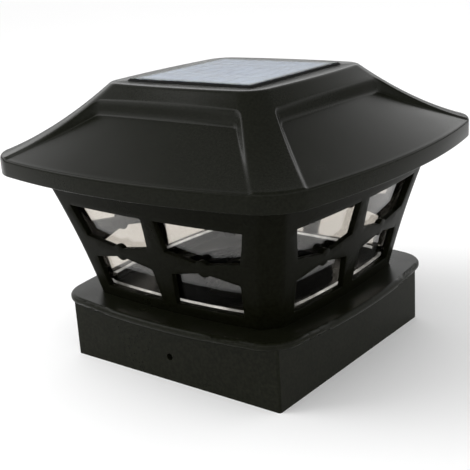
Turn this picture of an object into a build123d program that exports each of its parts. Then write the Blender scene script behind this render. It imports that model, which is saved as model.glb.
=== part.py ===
"""Solar pillar light: a lantern on a post-cap base, under a hipped roof that carries a solar panel.

Millimetres, +Z up. The origin is at the centre of the skirt's lower rim, where the cap slides onto a post.
The front of the light is -Y.
"""

import os
from math import sqrt

from build123d import *

os.makedirs("parts", exist_ok=True)

# Post socket and skirt
post_width = 140.0
post_clearance = 2.7
skirt_wall = 3.5
skirt_height = 36.0
skirt_corner = 1.5
post_screw_hole = 4.2
post_screw_height = 15.0
skirt_half = post_width / 2 + post_clearance + skirt_wall
socket_half = skirt_half - skirt_wall

# Deck that closes the socket and carries the lantern
deck_thickness = 4.7
deck_overhang = 12.2
deck_bow = 5.7
deck_corner_leg = 17.0
deck_edge_round = 2.2
deck_half = skirt_half + deck_overhang
deck_z = skirt_height + deck_thickness

# Lantern cage: its foot stands back from the deck's edge and its lean grows with height
deck_ledge = 17.4
cage_foot_lean = 0.203
cage_flare = 0.000828
cage_wall = 3.5
cage_bow_share = 0.046
cage_corner_leg = 12.5
cage_height = 78.1
cage_foot_half = deck_half - deck_ledge

# Windows in each cage face, measured along the face and up from the deck
window_top = 58.2
window_bottom = 6.7
window_top_half = 62.3
window_upper_foot_half = 55.8
window_lower_head_half = 52.8
window_bottom_half = 50.4
mullion_half = 5.2
bar_height = 32.75
bar_half_at_mullion = 6.9
bar_half_at_neck = 3.25
bar_half_at_post = 6.8
bead_offset = 30.2
bead_half_width = 3.6
bead_half_height = 5.05

# Clear liner behind the windows
lens_gap = 0.4
lens_wall = 1.8
lens_headroom = 8.5

# Mirror dish on the deck
dish_radius = 52.0
dish_height = 15.0
dish_waist = 4.5
dish_wall = 1.2
dish_top_radius = 5.0

# Screws: radius of shank and head, cross slots, and the slack of plain holes, head pockets and tips
screw_shank = 1.45
screw_head = 3.0
screw_head_height = 1.9
screw_drive_width = 1.0
screw_drive_span = 3.6
screw_drive_depth = 0.9
screw_hole_slack = 0.25
head_slack = 0.4
screw_tip_room = 1.5

# Bosses and screws that hold the cage to the deck, tucked into the cage's corners
cage_boss_tuck = 2.0
cage_boss_radius = 4.0
cage_boss_height = 9.0
cage_screw_bite = 6.0
boss_relief = 0.6

# Roof: how far the eave stands out from the cage, and the height of crown and fascia
eave_overhang = 23.1
eave_bow = 8.6
eave_corner_leg = 21.8
fascia_height = 9.6
eave_round = 1.2
eave_lap = 0.2
crown_border = 14.5
crown_bow = 2.1
crown_corner_leg = 12.1
crown_rise = 47.0
roof_sag = 3.55
roof_wall = 2.5

# Recessed panels between the hips
recess_at_crown = 9.9
recess_at_eave = 1.1
collar_step = 9.0
collar_bow = 2.4
hip_half_at_centre = 5.6
hip_spread = 0.055
recess_corner = 5.0
hip_inset = 0.4

# Solar panel, set into the crown
panel_width = 86.0
panel_proud = 1.3
panel_slack = 0.8
panel_seat_depth = 2.2
panel_floor = 2.5
panel_pad_margin = 4.0
gasket_thickness = 0.5
gasket_width = 6.0
panel_board_thickness = 1.2
cell_thickness = 0.3
cell_count = 8
cell_gap = 0.8
cell_margin = 3.0
ribbon_width = 1.2
ribbon_thickness = 0.1
ribbon_spacing = 40.0
cover_slack = 0.1
cover_edge = 0.4
lead_hole = 9.0
lead_y = -30.0

# Soffit plate that closes the roof from below, with a rib that drops inside the cage
soffit_rise = 0.5
soffit_thickness = 2.5
soffit_slack = 0.5
soffit_rest_gap = 0.2
soffit_rib_height = 4.5
soffit_rib_wall = 2.0
soffit_rib_slack = 0.6
soffit_boss = 66.0
soffit_boss_radius = 4.2
soffit_screw_bite = 9.5

# White ceiling plate under the soffit, whose corners stay clear of the soffit's screws
ceiling_half = 72.0
ceiling_bow = 3.0
ceiling_thickness = 2.2
ceiling_screw_gap = 2.0

# Battery, its holder and its sheet-metal contacts
battery_radius = 9.2
battery_length = 65.0
battery_y = 14.0
battery_drop = 2.0
battery_slack = 0.5
battery_end_room = 2.5
battery_cap_radius = 3.2
battery_cap_height = 1.0
battery_edge = 0.8
holder_wall = 1.8
contact_thickness = 0.4
contact_half = 5.0
contact_foot = 2.0
contact_tab_height = 4.0
contact_slack = 0.2
spring_crest = 1.5
spring_bend = 1.0

# Battery door and its hinge
door_slack = 0.4
door_lip = 3.4
door_thickness = 2.0
hinge_reach = 6.7
hinge_drop = 2.0
hinge_pin_radius = 0.8
hinge_running = 0.06
hinge_barrel_radius = 1.6
hinge_barrel_half = 30.0
hinge_end_slack = 0.3
hinge_ear = 3.0
catch_width = 8.0
catch_thickness = 1.2
catch_setback = 0.9

# Circuit board, lamps and switch
board_length = 80.0
board_width = 36.0
board_thickness = 1.6
board_corner = 1.5
board_gap = 1.5
lamp_radius = 2.5
lamp_flange = 2.9
lamp_flange_height = 1.0
lamp_length = 5.6
lamp_pitch_x = 22.0
lamp_pitch_y = 16.0
lamp_hole_slack = 0.7
lamp_window_margin = 2.0
chip_x = 18.0
chip_length = 10.0
chip_width = 6.2
chip_height = 1.8
coil_x = -20.0
coil_radius = 3.0
coil_height = 7.0
switch_x = 27.0
switch_length = 8.6
switch_width = 4.4
switch_height = 3.6
switch_gap = 0.4
slider_length = 2.0
slider_width = 1.6
slider_travel = 3.0
slider_slack = 0.15
slider_proud = 4.0
slider_flange = 0.5
slider_floor = 0.6

# Housing over the board and the battery
housing_wall = 2.0
housing_margin = 2.0
housing_round = 3.0
housing_ear = 9.0
housing_ear_thickness = 3.0
housing_ear_corner = 2.0
housing_ear_spacing = 32.0
housing_screw_bite = 2.2

# Wires from the panel and the seal where they enter the housing
wire_radius = 0.65
wire_pitch = 4.0
wire_jog = 6.0
wire_bend = 4.0
wire_straight = 3.0
wire_slack = 0.1
seal_radius = 4.0
seal_lip = 1.5
seal_flange = 1.5

# Levels that several pieces share
eave_z = deck_z + cage_height + soffit_rest_gap - soffit_rise
crown_z = eave_z + crown_rise
soffit_z = eave_z + soffit_rise
soffit_top = soffit_z + soffit_thickness
ceiling_bottom = soffit_z - ceiling_thickness
board_top = soffit_top + board_thickness
battery_z = soffit_top + battery_drop + battery_radius
holder_top = battery_z + battery_radius + battery_slack + holder_wall
housing_top = holder_top + housing_margin + housing_wall
panel_seat_z = crown_z - panel_seat_depth
panel_board_z = panel_seat_z + gasket_thickness
cell_z = panel_board_z + panel_board_thickness
panel_top_z = crown_z + panel_proud

# Plan sizes that several pieces share
crown_half = panel_width / 2 + crown_border
collar_half = crown_half + collar_step
cell_field = panel_width - 2 * cell_margin
pocket_half_x = battery_length / 2 + battery_end_room
pocket_half_y = battery_radius + battery_slack
battery_minus = pocket_half_x - contact_thickness - battery_length
board_back = battery_y - pocket_half_y - holder_wall - board_gap
board_y = board_back - board_width / 2
lamp_window_x = lamp_pitch_x + 2 * (lamp_flange + lamp_window_margin)
lamp_window_y = lamp_pitch_y + 2 * (lamp_flange + lamp_window_margin)
door_half_x = pocket_half_x + door_lip
door_front = battery_y - pocket_half_y - door_lip
hinge_y = battery_y + pocket_half_y + hinge_reach
hinge_z = soffit_z - hinge_drop
housing_half_x = max(board_length / 2, pocket_half_x + holder_wall) + housing_margin + housing_wall
housing_front = board_y - board_width / 2 - housing_margin - housing_wall
housing_back = battery_y + pocket_half_y + holder_wall + housing_margin + housing_wall
housing_y = (housing_front + housing_back) / 2
housing_screw_x = housing_half_x + housing_ear / 2
square_corner_cut = 1 - 1 / sqrt(2)


def bowed_square(half, bow, leg):
    """A square outline with outward-bowed sides, whose corners are rounded off over a leg on each side."""
    near = half - bow
    far = near - leg
    with BuildSketch() as outline:
        with BuildLine():
            for quarter in range(4):
                turn = 90.0 * quarter
                left = Vector(-far, -near).rotate(Axis.Z, turn)
                middle = Vector(0, -half).rotate(Axis.Z, turn)
                right = Vector(far, -near).rotate(Axis.Z, turn)
                onward = Vector(near, -far).rotate(Axis.Z, turn)
                side = ThreePointArc(left, middle, right)
                TangentArc(right, onward, tangent=side % 1)
        make_face()
    return outline.sketch


def cage_half(height):
    """Half-width of the cage's outside at a height above the deck."""
    return cage_foot_half + cage_foot_lean * height + cage_flare * height**2


def cage_outline(height, inset):
    """The cage's level outline, moved inwards by an inset."""
    half = cage_half(height)
    return bowed_square(half - inset, cage_bow_share * half, cage_corner_leg)


eave_half = cage_half(cage_height) + eave_overhang
cage_corner = cage_foot_half * (1 - cage_bow_share) - cage_wall - cage_corner_leg * square_corner_cut
cage_screw_offset = cage_corner - cage_boss_tuck


def cage_form(low, high, inset):
    """The solid inside the cage's leaning faces, between two heights above the deck."""
    stations = 4
    with BuildPart() as form:
        for step in range(stations):
            height = low + (high - low) * step / (stations - 1)
            with BuildSketch(Plane.XY.offset(deck_z + height)):
                add(cage_outline(height, inset))
        loft()
    return form.part


def roof_outline(share, inset):
    """The roof's level outline, from the crown (share 0) to the eave (share 1), moved inwards by an inset."""

    def between(at_crown, at_eave):
        return at_crown + (at_eave - at_crown) * share

    return bowed_square(
        between(crown_half, eave_half) - inset,
        between(crown_bow, eave_bow),
        between(crown_corner_leg, eave_corner_leg),
    )


def hip_height(share):
    """Height of the hips, hollowed below the straight line from crown to eave."""
    drop = crown_rise - fascia_height - recess_at_eave
    return crown_z - drop * share - 4 * roof_sag * share * (1 - share)


def slope_height(share):
    """Height of the recessed slopes, which come up to the hips at the eave."""
    recess = recess_at_eave + (recess_at_crown - recess_at_eave) * (1 - share) ** 2
    return hip_height(share) - recess


def roof_form(wall):
    """The roof's form, shrunk by a wall: fascia and slopes, with the crown and hips standing above them."""
    stations = (0.0, 0.25, 0.5, 0.75, 1.0)
    with BuildPart() as slopes:
        with BuildSketch(Plane.XY.offset(eave_z - wall)):
            add(roof_outline(1.0, wall))
        extrude(amount=fascia_height)
        brow = slopes.faces().sort_by(Axis.Z)[-1]
        fillet(brow.outer_wire().edges(), eave_round)
        for share in stations:
            with BuildSketch(Plane.XY.offset(slope_height(share) - wall)):
                add(roof_outline(share, wall + (eave_round + eave_lap) * share))
        loft()
    with BuildPart() as crown:
        for share in stations:
            with BuildSketch(Plane.XY.offset(hip_height(share) - wall)):
                add(roof_outline(share, wall + hip_inset))
        loft()
        with BuildSketch(Plane.XY.offset(hip_height(1.0) - wall)):
            add(roof_outline(1.0, wall + hip_inset))
        extrude(amount=-fascia_height / 2)
        add(crown_block(wall), mode=Mode.INTERSECT)
    with BuildPart() as form:
        add(slopes.part)
        add(crown.part)
    return form.part


def crown_block(wall):
    """An upright block with the plan of the crown's collar and the four hips, shrunk by a wall."""
    with BuildPart() as block:
        with BuildSketch(Plane.XY.offset(eave_z - wall)):
            add(bowed_square(collar_half - wall, collar_bow, hip_half_at_centre - wall))
            for quarter in range(4):
                add(hip_band(wall, 45.0 + 90.0 * quarter))
        extrude(amount=crown_rise)
        upright = block.edges().filter_by(Axis.Z)
        fillet([e for e in upright if Vector(e.center().X, e.center().Y).length < eave_half], recess_corner)
    return block.part


def hip_band(wall, turn):
    """Plan of one hip, a band that widens from the centre to past the eave's corner."""
    reach = eave_half * sqrt(2)
    start = hip_half_at_centre - wall
    end = start + hip_spread * reach
    with BuildSketch() as band:
        with Locations(Rotation(0, 0, turn)):
            Polygon((0, -start), (reach, -end), (reach, end), (0, start), align=None)
    return band.sketch


def pan_screw(shank_length):
    """A pan-head screw, head down, with its head's seat at the origin and its shank pointing up."""
    with BuildPart() as screw:
        Cylinder(screw_shank, shank_length, align=(Align.CENTER, Align.CENTER, Align.MIN))
        Cylinder(screw_head, screw_head_height, align=(Align.CENTER, Align.CENTER, Align.MAX))
        fillet(screw.edges().group_by(Axis.Z)[0], screw_head_height / 3)
        with Locations((0, 0, -screw_head_height)):
            Box(screw_drive_width, screw_drive_span, 2 * screw_drive_depth, mode=Mode.SUBTRACT)
            Box(screw_drive_span, screw_drive_width, 2 * screw_drive_depth, mode=Mode.SUBTRACT)
    return screw.part


# Base cap: skirt, deck and the holes for its screws
with BuildPart() as base_cap:
    with BuildSketch():
        RectangleRounded(2 * skirt_half, 2 * skirt_half, skirt_corner)
    extrude(amount=skirt_height)
    with BuildSketch(Plane.XY.offset(skirt_height)):
        add(bowed_square(deck_half, deck_bow, deck_corner_leg))
    extrude(amount=deck_thickness)
    deck_faces = base_cap.faces().filter_by(Axis.Z).sort_by(Axis.Z)
    fillet(deck_faces[-1].outer_wire().edges(), deck_edge_round)
    lip = base_cap.faces().filter_by(Axis.Z).sort_by(Axis.Z)[1]
    fillet(lip.outer_wire().edges(), deck_edge_round)
    with BuildSketch():
        RectangleRounded(2 * socket_half, 2 * socket_half, max(skirt_corner - skirt_wall, 0.5))
    extrude(amount=skirt_height, mode=Mode.SUBTRACT)
    with Locations(Plane.XZ.offset(skirt_half)):
        with Locations((0, post_screw_height)):
            Cylinder(
                post_screw_hole / 2,
                2 * skirt_half,
                align=(Align.CENTER, Align.CENTER, Align.MAX),
                mode=Mode.SUBTRACT,
            )
    with Locations(Plane((0, 0, skirt_height), z_dir=(0, 0, -1))):
        with GridLocations(2 * cage_screw_offset, 2 * cage_screw_offset, 2, 2):
            CounterBoreHole(
                screw_shank + screw_hole_slack,
                screw_head + head_slack,
                screw_head_height + screw_hole_slack,
                deck_thickness,
            )
base_cap.part.label = "base_cap"
export_step(base_cap.part, "parts/base_cap.step")

# Window openings of one cage face, as a cutter that points out of the front
with BuildPart() as front_windows:
    with BuildSketch(Plane.XZ.offset(cage_foot_half / 2)):
        for side in (-1, 1):
            with BuildLine():
                upper = Polyline(
                    (side * (bead_offset - bead_half_width), deck_z + bar_height + bar_half_at_neck),
                    (side * mullion_half, deck_z + bar_height + bar_half_at_mullion),
                    (side * mullion_half, deck_z + window_top),
                    (side * window_top_half, deck_z + window_top),
                    (side * window_upper_foot_half, deck_z + bar_height + bar_half_at_post),
                    (side * (bead_offset + bead_half_width), deck_z + bar_height + bar_half_at_neck),
                )
                ThreePointArc(
                    upper @ 1,
                    (side * bead_offset, deck_z + bar_height + bead_half_height),
                    upper @ 0,
                )
            make_face()
            with BuildLine():
                lower = Polyline(
                    (side * (bead_offset - bead_half_width), deck_z + bar_height - bar_half_at_neck),
                    (side * mullion_half, deck_z + bar_height - bar_half_at_mullion),
                    (side * mullion_half, deck_z + window_bottom),
                    (side * window_bottom_half, deck_z + window_bottom),
                    (side * window_lower_head_half, deck_z + bar_height - bar_half_at_post),
                    (side * (bead_offset + bead_half_width), deck_z + bar_height - bar_half_at_neck),
                )
                ThreePointArc(
                    lower @ 1,
                    (side * bead_offset, deck_z + bar_height - bead_half_height),
                    lower @ 0,
                )
            make_face()
    extrude(amount=eave_half)

# Cage: leaning walls with four windows a side, and bosses for the screws from below
cage_outside = cage_form(0.0, cage_height, 0.0)
cage_inside = cage_form(0.0, cage_height, cage_wall)
with BuildPart() as cage_frame:
    add(cage_outside)
    add(cage_inside, mode=Mode.SUBTRACT)
    with PolarLocations(0, 4):
        add(front_windows.part, mode=Mode.SUBTRACT)
    with Locations((0, 0, deck_z)):
        with GridLocations(2 * cage_screw_offset, 2 * cage_screw_offset, 2, 2):
            Cylinder(cage_boss_radius, cage_boss_height, align=(Align.CENTER, Align.CENTER, Align.MIN))
            Cylinder(
                screw_shank,
                cage_screw_bite + screw_tip_room,
                align=(Align.CENTER, Align.CENTER, Align.MIN),
                mode=Mode.SUBTRACT,
            )
cage_frame.part.label = "cage_frame"
export_step(cage_frame.part, "parts/cage_frame.step")

# Clear liner inside the cage, relieved around the bosses
lens_height = cage_height - lens_headroom
lens_outside = cage_form(0.0, lens_height, cage_wall + lens_gap)
lens_inside = cage_form(0.0, lens_height, cage_wall + lens_gap + lens_wall)
with BuildPart() as lens:
    add(lens_outside)
    add(lens_inside, mode=Mode.SUBTRACT)
    with Locations((0, 0, deck_z)):
        with GridLocations(2 * cage_screw_offset, 2 * cage_screw_offset, 2, 2):
            Cylinder(
                cage_boss_radius + boss_relief,
                cage_boss_height + boss_relief,
                align=(Align.CENTER, Align.CENTER, Align.MIN),
                mode=Mode.SUBTRACT,
            )
lens.part.label = "lens"
export_step(lens.part, "parts/lens.step")

# Mirror dish, a thin flared cone on the deck
with BuildPart() as reflector_dish:
    with BuildSketch(Plane.XZ):
        with BuildLine():
            rim = Line((dish_radius, deck_z), (dish_radius, deck_z + dish_wall))
            outer = ThreePointArc(
                rim @ 1,
                (dish_radius / 2, deck_z + dish_wall + dish_waist),
                (dish_top_radius, deck_z + dish_height),
            )
            top = Line(outer @ 1, (0, deck_z + dish_height))
            drop = Line(top @ 1, (0, deck_z + dish_height - dish_wall))
            under = Line(drop @ 1, (dish_top_radius, deck_z + dish_height - dish_wall))
            inner = ThreePointArc(
                under @ 1,
                (dish_radius / 2, deck_z + dish_waist),
                (dish_radius - dish_wall, deck_z),
            )
            Line(inner @ 1, rim @ 0)
        make_face()
    revolve(axis=Axis.Z)
reflector_dish.part.label = "reflector_dish"
export_step(reflector_dish.part, "parts/reflector_dish.step")

# Screws from under the deck into the cage
cage_screw_seat = skirt_height + screw_head_height + screw_hole_slack
cage_screw = pan_screw(deck_z - cage_screw_seat + cage_screw_bite)
with BuildPart() as cage_screws:
    with Locations((0, 0, cage_screw_seat)):
        with GridLocations(2 * cage_screw_offset, 2 * cage_screw_offset, 2, 2):
            add(cage_screw)
cage_screws.part.label = "cage_screws"
export_step(cage_screws.part, "parts/cage_screws.step")

# Roof shell: hollow roof with a seat for the panel and bosses for the soffit
roof_outside = roof_form(0.0)
roof_inside = roof_form(roof_wall)
with BuildPart() as roof_bosses:
    with Locations((0, 0, soffit_top)):
        with GridLocations(2 * soffit_boss, 2 * soffit_boss, 2, 2):
            Cylinder(soffit_boss_radius, crown_rise, align=(Align.CENTER, Align.CENTER, Align.MIN))
    add(roof_outside, mode=Mode.INTERSECT)
with BuildPart() as roof_shell:
    add(roof_outside)
    add(roof_inside, mode=Mode.SUBTRACT)
    add(roof_bosses.part)
    with Locations((0, 0, panel_seat_z)):
        pad = panel_width + 2 * panel_pad_margin
        Box(pad, pad, panel_floor, align=(Align.CENTER, Align.CENTER, Align.MAX))
        seat = panel_width + 2 * panel_slack
        Box(
            seat,
            seat,
            panel_seat_depth,
            align=(Align.CENTER, Align.CENTER, Align.MIN),
            mode=Mode.SUBTRACT,
        )
        with Locations((0, lead_y, 0)):
            Cylinder(
                lead_hole / 2,
                panel_floor,
                align=(Align.CENTER, Align.CENTER, Align.MAX),
                mode=Mode.SUBTRACT,
            )
    with Locations((0, 0, soffit_top)):
        with GridLocations(2 * soffit_boss, 2 * soffit_boss, 2, 2):
            Cylinder(
                screw_shank,
                soffit_screw_bite + screw_tip_room,
                align=(Align.CENTER, Align.CENTER, Align.MIN),
                mode=Mode.SUBTRACT,
            )
roof_shell.part.label = "roof_shell"
export_step(roof_shell.part, "parts/roof_shell.step")

# Gasket that the panel is bedded on
with BuildPart() as panel_gasket:
    with BuildSketch(Plane.XY.offset(panel_seat_z)):
        gasket_hole = panel_width - 2 * gasket_width
        Rectangle(panel_width, panel_width)
        Rectangle(gasket_hole, gasket_hole, mode=Mode.SUBTRACT)
    extrude(amount=gasket_thickness)
panel_gasket.part.label = "panel_gasket"
export_step(panel_gasket.part, "parts/panel_gasket.step")

# Board that carries the cells
with BuildPart() as panel_board:
    with BuildSketch(Plane.XY.offset(panel_board_z)):
        Rectangle(panel_width, panel_width)
    extrude(amount=panel_board_thickness)
panel_board.part.label = "panel_board"
export_step(panel_board.part, "parts/panel_board.step")

# Cells, a row of strips
with BuildPart() as solar_cells:
    with BuildSketch(Plane.XY.offset(cell_z)):
        cell_pitch = (cell_field + cell_gap) / cell_count
        with GridLocations(cell_pitch, 0, cell_count, 1):
            Rectangle(cell_pitch - cell_gap, cell_field)
    extrude(amount=cell_thickness)
solar_cells.part.label = "solar_cells"
export_step(solar_cells.part, "parts/solar_cells.step")

# Ribbons that join the cells
with BuildPart() as cell_ribbons:
    with BuildSketch(Plane.XY.offset(cell_z + cell_thickness)):
        with GridLocations(0, ribbon_spacing, 1, 2):
            Rectangle(cell_field, ribbon_width)
    extrude(amount=ribbon_thickness)
cell_ribbons.part.label = "cell_ribbons"
export_step(cell_ribbons.part, "parts/cell_ribbons.step")

# Clear cover over the cells
with BuildPart() as panel_cover:
    with BuildSketch(Plane.XY.offset(cell_z)):
        Rectangle(panel_width, panel_width)
    extrude(amount=panel_top_z - cell_z)
    fillet(panel_cover.edges().group_by(Axis.Z)[-1], cover_edge)
    with BuildSketch(Plane.XY.offset(cell_z)):
        cover_pocket = cell_field + 2 * cover_slack
        Rectangle(cover_pocket, cover_pocket)
    extrude(amount=cell_thickness + ribbon_thickness + cover_slack, mode=Mode.SUBTRACT)
panel_cover.part.label = "panel_cover"
export_step(panel_cover.part, "parts/panel_cover.step")

# Soffit plate: closes the roof, drops a rib inside the cage and carries the door's hinge ears
rib_foot = cage_height + soffit_rest_gap - soffit_rib_height
with BuildPart() as soffit_plate:
    with BuildSketch(Plane.XY.offset(soffit_z)):
        add(roof_outline(1.0, roof_wall + soffit_slack))
        with Locations((0, battery_y)):
            Rectangle(2 * pocket_half_x, 2 * pocket_half_y, mode=Mode.SUBTRACT)
        with Locations((0, board_y)):
            Rectangle(lamp_window_x, lamp_window_y, mode=Mode.SUBTRACT)
        with Locations((switch_x, board_y)):
            Rectangle(switch_length + 2 * switch_gap, switch_width + 2 * switch_gap, mode=Mode.SUBTRACT)
        with GridLocations(2 * soffit_boss, 2 * soffit_boss, 2, 2):
            Circle(screw_shank + screw_hole_slack, mode=Mode.SUBTRACT)
        with Locations((0, housing_y)):
            with GridLocations(2 * housing_screw_x, housing_ear_spacing, 2, 2):
                Circle(screw_shank + screw_hole_slack, mode=Mode.SUBTRACT)
    extrude(amount=soffit_thickness)
    with BuildSketch(Plane.XY.offset(soffit_z)):
        add(cage_outline(rib_foot, cage_wall + soffit_rib_slack))
        add(cage_outline(rib_foot, cage_wall + soffit_rib_slack + soffit_rib_wall), mode=Mode.SUBTRACT)
    extrude(amount=-soffit_rib_height)
    for side in (-1, 1):
        with BuildSketch(Plane.YZ.offset(side * (hinge_barrel_half + hinge_end_slack))):
            with Locations((hinge_y, hinge_z)):
                Circle(hinge_barrel_radius)
                Rectangle(2 * hinge_barrel_radius, hinge_drop, align=(Align.CENTER, Align.MIN))
                Circle(hinge_pin_radius, mode=Mode.SUBTRACT)
        extrude(amount=side * hinge_ear)
soffit_plate.part.label = "soffit_plate"
export_step(soffit_plate.part, "parts/soffit_plate.step")

# Ceiling plate, with its opening for the door and its holes for lamps and switch
ceiling_near = ceiling_half - ceiling_bow
ceiling_reach = soffit_boss - (screw_head + ceiling_screw_gap) / sqrt(2)
ceiling_corner_leg = (ceiling_near - ceiling_reach) / square_corner_cut
with BuildPart() as ceiling_plate:
    with BuildSketch(Plane.XY.offset(ceiling_bottom)):
        add(bowed_square(ceiling_half, ceiling_bow, ceiling_corner_leg))
        door_way = hinge_y + hinge_barrel_radius - door_front + 2 * door_slack
        with Locations((0, door_front - door_slack)):
            Rectangle(
                2 * (door_half_x + door_slack),
                door_way,
                align=(Align.CENTER, Align.MIN),
                mode=Mode.SUBTRACT,
            )
        with Locations((0, board_y)):
            with GridLocations(lamp_pitch_x, lamp_pitch_y, 2, 2):
                Circle(lamp_radius + lamp_hole_slack, mode=Mode.SUBTRACT)
        with Locations((switch_x, board_y)):
            Rectangle(switch_length + 2 * switch_gap, switch_width + 2 * switch_gap, mode=Mode.SUBTRACT)
        with Locations((0, housing_y)):
            with GridLocations(2 * housing_screw_x, housing_ear_spacing, 2, 2):
                Circle(screw_shank + screw_hole_slack, mode=Mode.SUBTRACT)
    extrude(amount=ceiling_thickness)
ceiling_plate.part.label = "ceiling_plate"
export_step(ceiling_plate.part, "parts/ceiling_plate.step")

# Battery door: plate, hinge barrel and the catch that springs into the pocket
with BuildPart() as battery_door:
    with BuildSketch(Plane.XY.offset(ceiling_bottom)):
        with Locations((0, door_front)):
            plate_end = hinge_y - hinge_barrel_radius - door_slack
            Rectangle(2 * door_half_x, plate_end - door_front, align=(Align.CENTER, Align.MIN))
            Rectangle(2 * hinge_barrel_half, hinge_y - door_front, align=(Align.CENTER, Align.MIN))
    extrude(amount=door_thickness)
    with Locations(Plane((0, hinge_y, hinge_z), z_dir=(1, 0, 0))):
        Cylinder(hinge_barrel_radius, 2 * hinge_barrel_half)
        Cylinder(hinge_pin_radius + hinge_running, 2 * hinge_barrel_half, mode=Mode.SUBTRACT)
    with Locations((0, battery_y - pocket_half_y + catch_setback, ceiling_bottom + door_thickness)):
        Box(
            catch_width,
            catch_thickness,
            soffit_top - ceiling_bottom - door_thickness,
            align=(Align.CENTER, Align.MIN, Align.MIN),
        )
battery_door.part.label = "battery_door"
export_step(battery_door.part, "parts/battery_door.step")

# Pin of the door's hinge, pressed into the ears
with BuildPart() as door_hinge_pin:
    with Locations(Plane((0, hinge_y, hinge_z), z_dir=(1, 0, 0))):
        Cylinder(hinge_pin_radius, 2 * (hinge_barrel_half + hinge_end_slack + hinge_ear))
door_hinge_pin.part.label = "door_hinge_pin"
export_step(door_hinge_pin.part, "parts/door_hinge_pin.step")

# Battery, lying along X with its plus end at +X
with BuildPart() as battery:
    with Locations(Plane((battery_minus, battery_y, battery_z), z_dir=(1, 0, 0))):
        can_length = battery_length - battery_cap_height
        Cylinder(battery_radius, can_length, align=(Align.CENTER, Align.CENTER, Align.MIN))
        fillet(battery.edges().filter_by(GeomType.CIRCLE), battery_edge)
        with Locations((0, 0, can_length)):
            Cylinder(
                battery_cap_radius, battery_cap_height, align=(Align.CENTER, Align.CENTER, Align.MIN)
            )
battery.part.label = "battery"
export_step(battery.part, "parts/battery.step")

# Holder: a trough over the battery, open below, slotted for the contacts
with BuildPart() as battery_holder:
    with Locations((0, battery_y, soffit_top)):
        Box(
            2 * (pocket_half_x + holder_wall),
            2 * (pocket_half_y + holder_wall),
            holder_top - soffit_top,
            align=(Align.CENTER, Align.CENTER, Align.MIN),
        )
        Box(
            2 * pocket_half_x,
            2 * pocket_half_y,
            holder_top - holder_wall - soffit_top,
            align=(Align.CENTER, Align.CENTER, Align.MIN),
            mode=Mode.SUBTRACT,
        )
    for side, inward in ((-1, Align.MIN), (1, Align.MAX)):
        with Locations((side * pocket_half_x, battery_y - pocket_half_y, soffit_top)):
            Box(
                contact_thickness + contact_slack,
                holder_wall,
                board_thickness + contact_tab_height + contact_slack,
                align=(inward, Align.MAX, Align.MIN),
                mode=Mode.SUBTRACT,
            )
battery_holder.part.label = "battery_holder"
export_step(battery_holder.part, "parts/battery_holder.step")

# Plus contact: a flat plate with a tab soldered to the circuit board
with BuildPart() as battery_contact:
    with BuildSketch(Plane.YZ.offset(pocket_half_x)):
        with Locations((battery_y, board_top)):
            Rectangle(
                2 * contact_half,
                battery_z + contact_half - board_top,
                align=(Align.CENTER, Align.MIN),
            )
            Rectangle(
                battery_y - board_back + contact_foot,
                contact_tab_height,
                align=(Align.MAX, Align.MIN),
            )
    extrude(amount=-contact_thickness)
battery_contact.part.label = "battery_contact"
export_step(battery_contact.part, "parts/battery_contact.step")

# Minus contact: the same tab, with a leaf folded down against the battery
with BuildPart() as battery_spring:
    with BuildSketch(Plane.XZ.offset(-battery_y)):
        with BuildLine():
            back = -pocket_half_x + contact_thickness / 2
            crest = battery_minus - contact_thickness / 2
            FilletPolyline(
                (back, board_top),
                (back, battery_z + contact_half + spring_crest),
                (crest, battery_z + spring_crest),
                (crest, battery_z - spring_crest),
                ((back + crest) / 2, battery_z - contact_half),
                radius=spring_bend,
            )
        trace(line_width=contact_thickness)
    extrude(amount=contact_half, both=True)
    with BuildSketch(Plane.YZ.offset(-pocket_half_x)):
        with Locations((battery_y, board_top)):
            Rectangle(
                battery_y - board_back + contact_foot,
                contact_tab_height,
                align=(Align.MAX, Align.MIN),
            )
    extrude(amount=contact_thickness)
battery_spring.part.label = "battery_spring"
export_step(battery_spring.part, "parts/battery_spring.step")

# Circuit board, flat on the soffit
with BuildPart() as circuit_board:
    with BuildSketch(Plane.XY.offset(soffit_top)):
        with Locations((0, board_y)):
            RectangleRounded(board_length, board_width, board_corner)
    extrude(amount=board_thickness)
circuit_board.part.label = "circuit_board"
export_step(circuit_board.part, "parts/circuit_board.step")

# Controller chip and choke on top of the board
with BuildPart() as controller_chip:
    with Locations((chip_x, board_y, board_top)):
        Box(chip_length, chip_width, chip_height, align=(Align.CENTER, Align.CENTER, Align.MIN))
controller_chip.part.label = "controller_chip"
export_step(controller_chip.part, "parts/controller_chip.step")
with BuildPart() as choke:
    with Locations((coil_x, board_y, board_top)):
        Cylinder(coil_radius, coil_height, align=(Align.CENTER, Align.CENTER, Align.MIN))
choke.part.label = "choke"
export_step(choke.part, "parts/choke.step")

# Lamps under the board, shining down through the ceiling plate
with BuildPart() as lamps:
    with Locations(Plane((0, board_y, soffit_top), z_dir=(0, 0, -1))):
        with GridLocations(lamp_pitch_x, lamp_pitch_y, 2, 2):
            Cylinder(lamp_flange, lamp_flange_height, align=(Align.CENTER, Align.CENTER, Align.MIN))
            stem = lamp_length - lamp_radius
            Cylinder(lamp_radius, stem, align=(Align.CENTER, Align.CENTER, Align.MIN))
            with Locations((0, 0, stem)):
                Sphere(lamp_radius)
lamps.part.label = "lamps"
export_step(lamps.part, "parts/lamps.step")

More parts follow.
